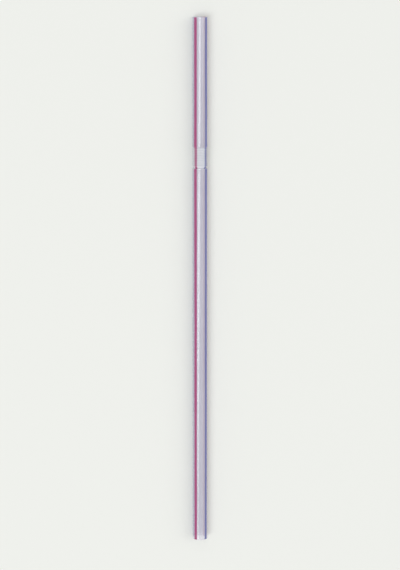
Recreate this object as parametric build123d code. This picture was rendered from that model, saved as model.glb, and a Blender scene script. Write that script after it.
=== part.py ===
from build123d import *
import math
import os

# A bendable drinking straw, formed from one thin plastic tube.
# Sizes are in millimetres. The straw lies on its side along Y, with its mouth end at +Y,
# and touches the surface below it along one line at Z = 0.

# The tube
outside_diameter = 6.0
wall = 0.15
overall_length = 210.0
mouth_tube_length = 50.0

# The bellows, pushed shut as on a new straw: a stack of thin cones, each nested in the next
ring_count = 12
fold_depth = 0.75
nesting_gap = 0.20
# How far each cone leans from square to the straw's axis, in degrees
cone_angle = 58.0

# Half a wall lies to each side of the middle of the wall, which runs from crest to root and back
half_wall = wall / 2
crest_radius = outside_diameter / 2 - half_wall
root_radius = crest_radius - fold_depth

# Two neighbouring cones are a wall and a gap apart, measured square to their sides
cone_length = fold_depth * math.tan(math.radians(cone_angle))
ring_pitch = (wall + nesting_gap) / math.cos(math.radians(cone_angle))
bellows_length = (ring_count - 1) * ring_pitch + cone_length
long_tube_length = overall_length - mouth_tube_length - bellows_length


def middle_of_wall():
    """Corners along the middle of the wall, from the tip to the mouth.

    X is the distance from the straw's axis and Y the distance from the tip. The long tube ends in
    a square shoulder, down to the first root. Each ring runs out along one cone from its root to
    its crest, and the wall folds back under that cone to the root of the next ring.
    """
    corners = [Vector(crest_radius, 0), Vector(crest_radius, long_tube_length)]
    for ring in range(ring_count):
        root = long_tube_length + ring * ring_pitch
        corners.append(Vector(root_radius, root))
        corners.append(Vector(crest_radius, root + cone_length))
    corners.append(Vector(crest_radius, overall_length))
    return corners


def wall_surface(corners, side):
    """Points along one surface of the wall, outside (side 1) or inside (side -1).

    The surface is half a wall from the middle. A fold is sharp on its inner side, and blunt on its
    outer side, where two chords cut the circle of half a wall round its corner.
    """
    runs = [(end - start).normalized() for start, end in zip(corners, corners[1:])]
    normals = [Vector(run.Y, -run.X) * side for run in runs]
    points = [corners[0] + normals[0] * half_wall]
    for corner, before, after in zip(corners[1:-1], normals, normals[1:]):
        halfway = (before + after).normalized()
        if before.cross(after).Z * side > 0:
            points += [corner + normal * half_wall for normal in (before, halfway, after)]
        else:
            points.append(corner + halfway * (half_wall / halfway.dot(before)))
    points.append(corners[-1] + normals[-1] * half_wall)
    return points


def wall_profile():
    """The cut through one side of the straw, with the tip and the mouth cut square."""
    corners = middle_of_wall()
    outside = wall_surface(corners, 1)
    inside = wall_surface(corners, -1)
    return make_face(Polyline(*outside, *reversed(inside), close=True))


def drinking_straw():
    """The profile turned once round the straw's axis, with the straw centred and laid down."""
    whole_tube = revolve(wall_profile(), Axis.Y)
    return Pos(0, -overall_length / 2, outside_diameter / 2) * whole_tube


os.makedirs("parts", exist_ok=True)
export_step(drinking_straw(), "parts/drinking_straw.step")
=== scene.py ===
import math

import bpy
import numpy as np
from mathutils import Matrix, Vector


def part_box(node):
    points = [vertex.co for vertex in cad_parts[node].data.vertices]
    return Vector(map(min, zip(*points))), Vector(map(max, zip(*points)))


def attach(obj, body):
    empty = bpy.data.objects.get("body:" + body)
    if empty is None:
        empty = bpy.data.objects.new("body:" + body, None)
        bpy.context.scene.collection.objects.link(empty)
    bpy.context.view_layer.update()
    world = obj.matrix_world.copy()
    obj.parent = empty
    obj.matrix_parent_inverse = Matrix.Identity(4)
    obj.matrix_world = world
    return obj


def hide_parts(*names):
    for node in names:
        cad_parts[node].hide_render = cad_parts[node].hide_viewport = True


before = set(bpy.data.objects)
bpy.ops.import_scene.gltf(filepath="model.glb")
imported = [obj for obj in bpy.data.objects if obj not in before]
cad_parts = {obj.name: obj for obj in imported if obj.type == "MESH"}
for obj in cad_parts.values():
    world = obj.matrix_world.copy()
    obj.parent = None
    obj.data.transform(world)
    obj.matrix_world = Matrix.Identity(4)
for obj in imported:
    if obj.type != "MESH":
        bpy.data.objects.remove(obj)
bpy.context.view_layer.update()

# A bendable drinking straw that lies on a pale floor, with its mouth end at +Y.
# The straw's sizes are in millimetres and become metres in its mesh. The floor, the lamps and the
# camera are in metres.
millimetre = 0.001

# The straw's own box gives its length, its outside radius and the height of its axis
lowest, highest = (np.array(corner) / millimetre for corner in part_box("drinking_straw"))
overall_length = highest[1] - lowest[1]
outside_radius = (highest[2] - lowest[2]) / 2
axis_height = (highest[2] + lowest[2]) / 2
tip_place = lowest[1]

# The wall and the bellows, pushed shut: thin cones, each nested in the next
wall = 0.15
mouth_tube_length = 50.0
ring_count = 12
fold_depth = 0.75
nesting_gap = 0.20
cone_angle = math.radians(58.0)
# How far the rings lean, because a bellows never shuts quite square, and the length over which
# the lean goes once round the straw
ring_lean = 0.035
lean_wave = 5.0

half_wall = wall / 2
crest_radius = outside_radius - half_wall
root_radius = crest_radius - fold_depth
cone_length = fold_depth * math.tan(cone_angle)
ring_pitch = (wall + nesting_gap) / math.cos(cone_angle)
bellows_length = (ring_count - 1) * ring_pitch + cone_length
long_tube_length = overall_length - mouth_tube_length - bellows_length
bellows_end = long_tube_length + bellows_length

# How round the folds and the cut ends are, and how finely the surface is divided
inner_fold_radius = 0.02
cut_edge_radius = 0.03
arc_points = 8
longest_step = 4.0
points_round = 144

# The stripes run straight along the tube: two magenta and two blue, by turns
magenta_bearing = math.radians(127.0)
blue_bearing = magenta_bearing - math.radians(90.0)
stripe_half_width = 0.65
stripe_softness = 0.16
stripe_wander = 0.15

# Where the look of the bellows starts, from the long tube's end, and stops, from its own end
bellows_look_starts = (-0.3, 0.2)
bellows_look_stops = (-0.5, 0.1)
# How far in from a crest and out from a root the plastic is whiter
crest_reach = 0.35
root_reach = 0.30
# How far from a cut end its paler look starts, and is full
cut_end_reach = (0.14, 0.03)

# Patterns in the plastic lie on a tube of their own, this many units in radius, where one unit
# along is this many millimetres of the straw
pattern_radius = 3.0
pattern_length = 40.0

# Colours as they look, each as red, green and blue from 0 to 255. Where there are two, the tone
# drifts from one to the other.
milky_plastic = (216, 213, 230), (227, 225, 238)
magenta_plastic = (171, 6, 103), (162, 20, 116)
blue_plastic = (82, 84, 162), (94, 104, 174)
drawn_plastic = (243, 243, 247)
# The whitened plastic is the bellows' stress-whitened plastic, made paler still as painted fill
# light in the shaded folds
whitened_plastic_and_painted_fill = (238, 240, 246)
cut_plastic = (244, 243, 246)
floor_paint = (236, 237, 233)
studio_wall = (240, 241, 240)

# How strongly the paler plastics show (the bellows' whitening is partly stress whitening and
# partly painted fill light in the folds), how strongly a stripe shows, and what a stripe loses
drawn_line_share = 0.35
bellows_whitening_and_painted_fill = 0.70
fold_whitening = 0.25
cut_end_share = 0.50
stripe_strength = 0.95
stripe_loss_on_bellows = 0.07
stripe_loss_at_fold = 0.10

# The share of the light that one surface of the plain tube stops, and what other places add
tube_cover = 0.42
stripe_cover = 0.46
bellows_cover = 0.40
cut_end_cover = 0.35

# The roughness of the glossiest plastic, and what its dullest drawn lines and the bellows add
gloss_roughness = 0.09
drawn_line_roughness = 0.12
bellows_roughness = 0.08
drawn_line_height = 0.012

# The photograph's view: the camera stands a little towards the mouth end. The picture's height
# and the straw's length in it are in pixels.
camera_distance = 0.675
camera_tilt = math.radians(11.0)
picture_height = 570
straw_in_picture = 530
sensor_size = 36.0


def unit(rows):
    """Each row divided by its length."""
    return rows / np.linalg.norm(rows, axis=-1, keepdims=True)


def middle_of_wall():
    """Corners along the middle of the wall, as rows of distance from the axis and distance along.

    The tip comes first, then the long tube's end, then a root and a crest for each ring, one pitch
    apart, and the mouth comes last.
    """
    along = long_tube_length + np.arange(ring_count) * ring_pitch
    roots = np.stack([np.full(ring_count, root_radius), along], axis=1)
    crests = np.stack([np.full(ring_count, crest_radius), along + cone_length], axis=1)
    return np.vstack([
        [crest_radius, 0],
        [crest_radius, long_tube_length],
        np.stack([roots, crests], axis=1).reshape(-1, 2),
        [crest_radius, overall_length],
    ])


def moved_sideways(corners, distance):
    """The open line moved sideways, away from the axis where the distance is positive.

    A corner goes along the line that halves its two normals, by the distance over the cosine of
    the angle between that line and either normal.
    """
    ways = unit(np.diff(corners, axis=0))
    normals = np.stack([ways[:, 1], -ways[:, 0]], axis=1)
    before = np.vstack([normals[:1], normals])
    after = np.vstack([normals, normals[-1:]])
    halfway = unit(before + after)
    return corners + halfway * distance / np.sum(halfway * before, axis=1, keepdims=True)


def rounded(corners, radii):
    """The closed line of corners with an arc of its own radius at each corner.

    An arc starts before its corner by the radius times the tangent of half the turn. Where it has
    turned by an angle, it lies the radius times the sine further on, and the radius times one
    minus the cosine to the side.
    """
    way_in = unit(corners - np.roll(corners, 1, axis=0))
    way_out = np.roll(way_in, -1, axis=0)
    aside = np.stack([-way_in[:, 1], way_in[:, 0]], axis=1)
    turn = np.arctan2(np.sum(aside * way_out, axis=1), np.sum(way_in * way_out, axis=1))
    start = corners - way_in * (radii * np.tan(np.abs(turn) / 2))[:, None]
    angles = turn[:, None] * np.linspace(0, 1, arc_points)
    onward = radii[:, None] * np.abs(np.sin(angles))
    sideways = radii[:, None] * (1 - np.cos(angles)) * np.sign(turn)[:, None]
    arcs = start[:, None] + way_in[:, None] * onward[..., None]
    arcs = arcs + aside[:, None] * sideways[..., None]
    return arcs.reshape(-1, 2)


def finely_divided(line):
    """The closed line with each step over the longest one cut into equal parts."""
    ahead = np.roll(line, -1, axis=0) - line
    parts = np.ceil(np.linalg.norm(ahead, axis=1) / longest_step).astype(int)
    parts = np.maximum(parts, 1)
    step = np.repeat(np.arange(len(line)), parts)
    part = np.arange(len(step)) - np.repeat(np.cumsum(parts) - parts, parts)
    return line[step] + ahead[step] * (part / parts[step])[:, None]


def wall_outline():
    """The cut through one side of the wall: up the outside from the tip and down the inside.

    A fold is round on its outer side by half a wall, which keeps the wall's thickness round it,
    and nearly sharp on its inner side, where the line turns to the right.
    """
    corners = middle_of_wall()
    outside = moved_sideways(corners, half_wall)
    inside = moved_sideways(corners, -half_wall)
    outline = np.vstack([outside, inside[::-1]])
    way_in = outline - np.roll(outline, 1, axis=0)
    way_out = np.roll(way_in, -1, axis=0)
    left_turn = way_in[:, 0] * way_out[:, 1] > way_in[:, 1] * way_out[:, 0]
    radii = np.where(left_turn, half_wall, inner_fold_radius)
    cut_ends = [0, len(outside) - 1, len(outside), -1]
    radii[cut_ends] = cut_edge_radius
    return finely_divided(rounded(outline, radii))


def bellows_share(along):
    """1 in the middle of the bellows and 0 on both tubes, as half a sine wave between."""
    done = np.clip((along - long_tube_length) / bellows_length, 0, 1)
    return np.sin(math.pi * done)


def wall_surface():
    """The wall's surface on a grid of outline point and angle round the axis.

    A point is its distance from the axis times the cosine across and times the sine up, at its
    distance along. In the bellows the distance along also sways with the angle by the lean.
    """
    radius, along = wall_outline().T[:, :, None]
    angle = np.arange(points_round) * 2 * math.pi / points_round
    lean = ring_lean * bellows_share(along) * np.sin(angle + along * 2 * math.pi / lean_wave)
    grid = np.stack(
        [
            radius * np.cos(angle),
            tip_place + along + lean,
            axis_height + radius * np.sin(angle),
        ],
        axis=-1,
    )
    return grid * millimetre


def closed_grid_faces(rows, columns):
    """Four-sided faces of a grid that closes on itself both ways, facing away from the wall."""
    number = np.arange(rows * columns).reshape(rows, columns)
    next_row = np.roll(number, -1, axis=0)
    next_column = np.roll(number, -1, axis=1)
    next_both = np.roll(next_row, -1, axis=1)
    return np.stack([number, next_row, next_both, next_column], axis=-1).reshape(-1, 4)


def new_piece(name, points, faces):
    """A smooth mesh object at the origin, with its place in its mesh."""
    mesh = bpy.data.meshes.new(name)
    mesh.from_pydata(points.reshape(-1, 3), [], faces)
    mesh.shade_smooth()
    piece = bpy.data.objects.new(name, mesh)
    bpy.context.scene.collection.objects.link(piece)
    return piece


def pigment(colour):
    """A colour given as it looks, as the plain light that a shader takes."""
    looks = np.array(colour) / 255
    light = np.where(looks <= 0.04045, looks / 12.92, ((looks + 0.055) / 1.055) ** 2.4)
    return (*light.tolist(), 1.0)


# Short calls for shader nodes: the first gives back its node, and the others what theirs puts out

def add(tree, kind, inputs, **settings):
    """A node with its settings made and its inputs joined to sockets or given values."""
    node = tree.nodes.new(kind)
    for name, value in settings.items():
        setattr(node, name, value)
    for key, value in inputs.items():
        if isinstance(value, bpy.types.NodeSocket):
            tree.links.new(value, node.inputs[key])
        else:
            node.inputs[key].default_value = value
    return node


def maths(tree, operation, *values, clamp=False):
    """One sum on numbers."""
    inputs = dict(enumerate(values))
    return add(tree, "ShaderNodeMath", inputs, operation=operation, use_clamp=clamp).outputs[0]


def raised(tree, value, mask, amount, clamp=False):
    """The value, with the amount added to it by as much as the mask shows."""
    return maths(tree, "MULTIPLY_ADD", mask, amount, value, clamp=clamp)


def vectors(tree, operation, *values, output="Vector"):
    """One sum on vectors."""
    inputs = dict(enumerate(values))
    return add(tree, "ShaderNodeVectorMath", inputs, operation=operation).outputs[output]


def eased(tree, value, start, end, first=0.0, last=1.0):
    """Goes smoothly from the first number to the last as the value goes from start to end."""
    inputs = {"Value": value, 1: start, 2: end, 3: first, 4: last}
    return add(tree, "ShaderNodeMapRange", inputs, interpolation_type="SMOOTHSTEP").outputs[0]


def mixed(tree, share, first, second):
    """The first colour with a share of the second."""
    inputs = {0: share, 6: first, 7: second}
    return add(tree, "ShaderNodeMix", inputs, data_type="RGBA").outputs[2]


def noise(tree, place, scale, detail=2.0):
    """Soft cloudy numbers about one half."""
    inputs = {"Vector": place, "Scale": scale, "Detail": detail}
    return add(tree, "ShaderNodeTexNoise", inputs).outputs[0]


def drifting(tree, clouds, colours):
    """Plastic whose tone drifts between its two colours with the clouds."""
    first, second = colours
    return mixed(tree, clouds, pigment(first), pigment(second))


def new_group(name, inputs, outputs):
    """An empty node group with its sockets. Returns its tree, its way in and its way out."""
    tree = bpy.data.node_groups.new(name, "ShaderNodeTree")
    for socket, kind in inputs:
        tree.interface.new_socket(socket, in_out="INPUT", socket_type=kind)
    for socket, kind in outputs:
        tree.interface.new_socket(socket, in_out="OUTPUT", socket_type=kind)
    return tree, tree.nodes.new("NodeGroupInput").outputs, tree.nodes.new("NodeGroupOutput").inputs


def place_on_straw_group():
    """Where a point is on the straw, in millimetres: along from the tip, and out from the axis.

    Around is the way out from the axis, one long. Lengthwise is a place for patterns that are
    drawn out along the straw, and goes round it without a seam.
    """
    tree, _, out = new_group(
        "place on straw",
        [],
        [
            ("Along", "NodeSocketFloat"),
            ("Radius", "NodeSocketFloat"),
            ("Around", "NodeSocketVector"),
            ("Lengthwise", "NodeSocketVector"),
        ],
    )
    place = tree.nodes.new("ShaderNodeTexCoord").outputs["Object"]
    place = vectors(tree, "MULTIPLY", place, (1 / millimetre,) * 3)
    place = vectors(tree, "SUBTRACT", place, (0, tip_place, axis_height))
    across = vectors(tree, "MULTIPLY", place, (1, 0, 1))
    around = vectors(tree, "NORMALIZE", across)
    along = add(tree, "ShaderNodeSeparateXYZ", {0: place}).outputs["Y"]
    drawn_out = vectors(tree, "MULTIPLY", place, (0, 1 / pattern_length, 0))
    on_pattern_tube = vectors(tree, "MULTIPLY", around, (pattern_radius,) * 3)
    tree.links.new(along, out["Along"])
    tree.links.new(vectors(tree, "LENGTH", across, output="Value"), out["Radius"])
    tree.links.new(around, out["Around"])
    tree.links.new(vectors(tree, "ADD", on_pattern_tube, drawn_out), out["Lengthwise"])
    return tree


def stripe_pair_group():
    """A mask for two stripes on opposite sides of the straw.

    The distance from the stripe's middle, measured round the straw, is the outside radius times
    the angle whose cosine is the size of Around along Bearing. Wander makes the edge uneven.
    """
    tree, given, out = new_group(
        "stripe pair",
        [
            ("Around", "NodeSocketVector"),
            ("Bearing", "NodeSocketVector"),
            ("Wander", "NodeSocketFloat"),
        ],
        [("Mask", "NodeSocketFloat")],
    )
    cosine = vectors(tree, "DOT_PRODUCT", given["Around"], given["Bearing"], output="Value")
    angle = maths(tree, "ARCCOSINE", maths(tree, "ABSOLUTE", cosine))
    distance = maths(tree, "MULTIPLY", angle, outside_radius)
    distance = maths(tree, "ADD", distance, given["Wander"])
    start = stripe_half_width - stripe_softness
    end = stripe_half_width + stripe_softness
    tree.links.new(eased(tree, distance, start, end, first=1.0, last=0.0), out["Mask"])
    return tree


def bearing(angle):
    """The way out from the axis at that angle from +X towards +Z."""
    return (math.cos(angle), 0.0, math.sin(angle))


def stripe_masks(tree, place):
    """A mask for the magenta stripes and one for the blue, with slightly uneven edges."""
    waver = noise(tree, place["Lengthwise"], scale=1.5)
    wander = raised(tree, -stripe_wander, waver, 2 * stripe_wander)
    stripe_group = stripe_pair_group()
    masks = []
    for angle in (magenta_bearing, blue_bearing):
        inputs = {"Around": place["Around"], "Bearing": bearing(angle), "Wander": wander}
        masks.append(add(tree, "ShaderNodeGroup", inputs, node_tree=stripe_group).outputs["Mask"])
    return masks


def bellows_masks(tree, place):
    """A mask for the bellows, whose plastic is paler, partly as painted fill light in its folds,
    and one for its crests and roots, where the plastic turns white.
    """
    starts = [long_tube_length + offset for offset in bellows_look_starts]
    stops = [bellows_end + offset for offset in bellows_look_stops]
    begun = eased(tree, place["Along"], *starts)
    not_over = eased(tree, place["Along"], *stops, first=1.0, last=0.0)
    bellows = maths(tree, "MULTIPLY", begun, not_over)
    crest = eased(tree, place["Radius"], crest_radius - crest_reach, crest_radius)
    root_end = root_radius + root_reach
    root = eased(tree, place["Radius"], root_radius, root_end, first=1.0, last=0.0)
    folds = maths(tree, "MULTIPLY", bellows, maths(tree, "MAXIMUM", crest, root))
    return bellows, folds


def cut_end_mask(tree, place):
    """A mask for the cut edges at the tip and at the mouth."""
    half_length = overall_length / 2
    from_middle = maths(tree, "ABSOLUTE", maths(tree, "SUBTRACT", place["Along"], half_length))
    start, end = (half_length - reach for reach in cut_end_reach)
    return eased(tree, from_middle, start, end)


def straw_colour(tree, masks, drawn_lines, clouds):
    """Milky plastic, paler on its drawn lines, its bellows and its cut ends, under the stripes.
    The bellows' paleness is stress whitening and partly painted fill light.
    """
    body = drifting(tree, clouds, milky_plastic)
    line_share = eased(tree, drawn_lines, start=0.35, end=0.75, last=drawn_line_share)
    body = mixed(tree, line_share, body, pigment(drawn_plastic))
    # Painted fill light: the bellows are whitened beyond their stress whitening so that their
    # shaded folds look lit through the thin wall
    whitening_and_painted_fill = maths(tree, "MULTIPLY", masks["bellows"], bellows_whitening_and_painted_fill)
    whitening_and_painted_fill = raised(tree, whitening_and_painted_fill, masks["folds"], fold_whitening)
    body = mixed(tree, whitening_and_painted_fill, body, pigment(whitened_plastic_and_painted_fill))

    stripe_share = raised(tree, stripe_strength, masks["bellows"], -stripe_loss_on_bellows)
    stripe_share = raised(tree, stripe_share, masks["folds"], -stripe_loss_at_fold)
    magenta_share = maths(tree, "MULTIPLY", masks["magenta"], stripe_share)
    blue_share = maths(tree, "MULTIPLY", masks["blue"], stripe_share)
    colour = mixed(tree, magenta_share, body, drifting(tree, clouds, magenta_plastic))
    colour = mixed(tree, blue_share, colour, drifting(tree, clouds, blue_plastic))
    cut_share = maths(tree, "MULTIPLY", masks["cut ends"], cut_end_share)
    return mixed(tree, cut_share, colour, pigment(cut_plastic))


def straw_cover(tree, masks):
    """How much of the light one surface of the wall stops."""
    stripes = maths(tree, "MAXIMUM", masks["magenta"], masks["blue"])
    cover = raised(tree, tube_cover, stripes, stripe_cover)
    cover = raised(tree, cover, masks["bellows"], bellows_cover)
    return raised(tree, cover, masks["cut ends"], cut_end_cover, clamp=True)


def straw_plastic():
    """Thin milky plastic with a soft gloss: striped tubes, and a bellows whitened by its folds and
    by painted fill light.
    """
    material = bpy.data.materials.new("striped_straw_plastic")
    material.use_nodes = True
    tree = material.node_tree
    surface = tree.nodes["Principled BSDF"].inputs

    place = add(tree, "ShaderNodeGroup", {}, node_tree=place_on_straw_group()).outputs
    magenta, blue = stripe_masks(tree, place)
    bellows, folds = bellows_masks(tree, place)
    masks = {
        "magenta": magenta,
        "blue": blue,
        "bellows": bellows,
        "folds": folds,
        "cut ends": cut_end_mask(tree, place),
    }
    # Fine lines drawn along the tube as it was formed, and slow clouds of tone
    drawn_lines = noise(tree, place["Lengthwise"], scale=9.0, detail=4.0)
    clouds = noise(tree, place["Lengthwise"], scale=0.8)

    tree.links.new(straw_colour(tree, masks, drawn_lines, clouds), surface["Base Color"])
    tree.links.new(straw_cover(tree, masks), surface["Alpha"])
    roughness = raised(tree, gloss_roughness, drawn_lines, drawn_line_roughness)
    roughness = raised(tree, roughness, bellows, bellows_roughness)
    tree.links.new(roughness, surface["Roughness"])
    bump = {"Strength": 0.5, "Distance": drawn_line_height * millimetre, "Height": drawn_lines}
    tree.links.new(add(tree, "ShaderNodeBump", bump).outputs[0], surface["Normal"])
    surface["IOR"].default_value = 1.49
    surface["Specular IOR Level"].default_value = 1.0
    return material


def formed_straw():
    """The whole straw as one closed wall."""
    surface = wall_surface()
    straw = new_piece("formed_straw", surface, closed_grid_faces(*surface.shape[:2]))
    straw.data.materials.append(straw_plastic())
    evener = straw.modifiers.new("flat runs stay flat", "WEIGHTED_NORMAL")
    evener.keep_sharp = False
    return straw


def pale_floor():
    """A wide flat floor of one pale matt colour, just under the straw."""
    half_width = 1.5
    corners = [(-1, -1), (1, -1), (1, 1), (-1, 1)]
    height = lowest[2] * millimetre
    points = np.array([(x * half_width, y * half_width, height) for x, y in corners])
    floor = new_piece("pale_floor", points, np.array([[0, 1, 2, 3]]))
    material = bpy.data.materials.new("matt_pale_paint")
    material.use_nodes = True
    surface = material.node_tree.nodes["Principled BSDF"].inputs
    surface["Base Color"].default_value = pigment(floor_paint)
    surface["Roughness"].default_value = 0.9
    surface["Specular IOR Level"].default_value = 0.1
    floor.data.materials.append(material)
    return floor


def soft_lamp(name, place, width, length, watts):
    """A soft box of light that faces the middle of the straw."""
    light = bpy.data.lights.new(name, "AREA")
    light.shape = "RECTANGLE"
    light.size = width
    light.size_y = length
    light.energy = watts
    lamp = bpy.data.objects.new(name, light)
    lamp.location = place
    lamp.rotation_euler = Vector(place).to_track_quat("Z", "Y").to_euler()
    bpy.context.scene.collection.objects.link(lamp)


def studio_light():
    """A long soft lamp high on the left, a weaker one on the right, and even light all round.

    The even light is weaker than it looks: the camera, a reflection and light that has passed
    through something see the studio's wall at its full strength.
    """
    soft_lamp("left_lamp", place=(-0.8, -0.4, 2.8), width=0.7, length=2.7, watts=37.0)
    soft_lamp("right_lamp", place=(2.2, 0.6, 2.0), width=1.5, length=2.2, watts=14.0)
    even_light = 0.66
    world = bpy.data.worlds.new("studio")
    bpy.context.scene.world = world
    world.use_nodes = True
    tree = world.node_tree
    seen = tree.nodes.new("ShaderNodeLightPath").outputs
    shown = maths(tree, "MAXIMUM", seen["Is Camera Ray"], seen["Is Glossy Ray"])
    shown = maths(tree, "MAXIMUM", shown, seen["Is Transmission Ray"])
    background = tree.nodes["Background"].inputs
    background["Color"].default_value = pigment(studio_wall)
    tree.links.new(raised(tree, even_light, shown, 1 - even_light), background["Strength"])


def photograph_camera():
    """The camera above the straw, turned so that the mouth end is at the top of the picture."""
    lens = bpy.data.cameras.new("camera")
    lens.sensor_width = sensor_size
    view_height = overall_length * millimetre * picture_height / straw_in_picture
    lens.lens = sensor_size * camera_distance / view_height
    lens.clip_start = 0.01
    camera = bpy.data.objects.new("camera", lens)
    camera.location = (
        0.0,
        camera_distance * math.sin(camera_tilt),
        axis_height * millimetre + camera_distance * math.cos(camera_tilt),
    )
    camera.rotation_euler = (-camera_tilt, 0.0, 0.0)
    bpy.context.scene.collection.objects.link(camera)
    bpy.context.scene.camera = camera


straw = formed_straw()
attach(straw, "root")
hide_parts("drinking_straw")
pale_floor()
studio_light()
photograph_camera()
bpy.context.scene.view_settings.view_transform = "Standard"
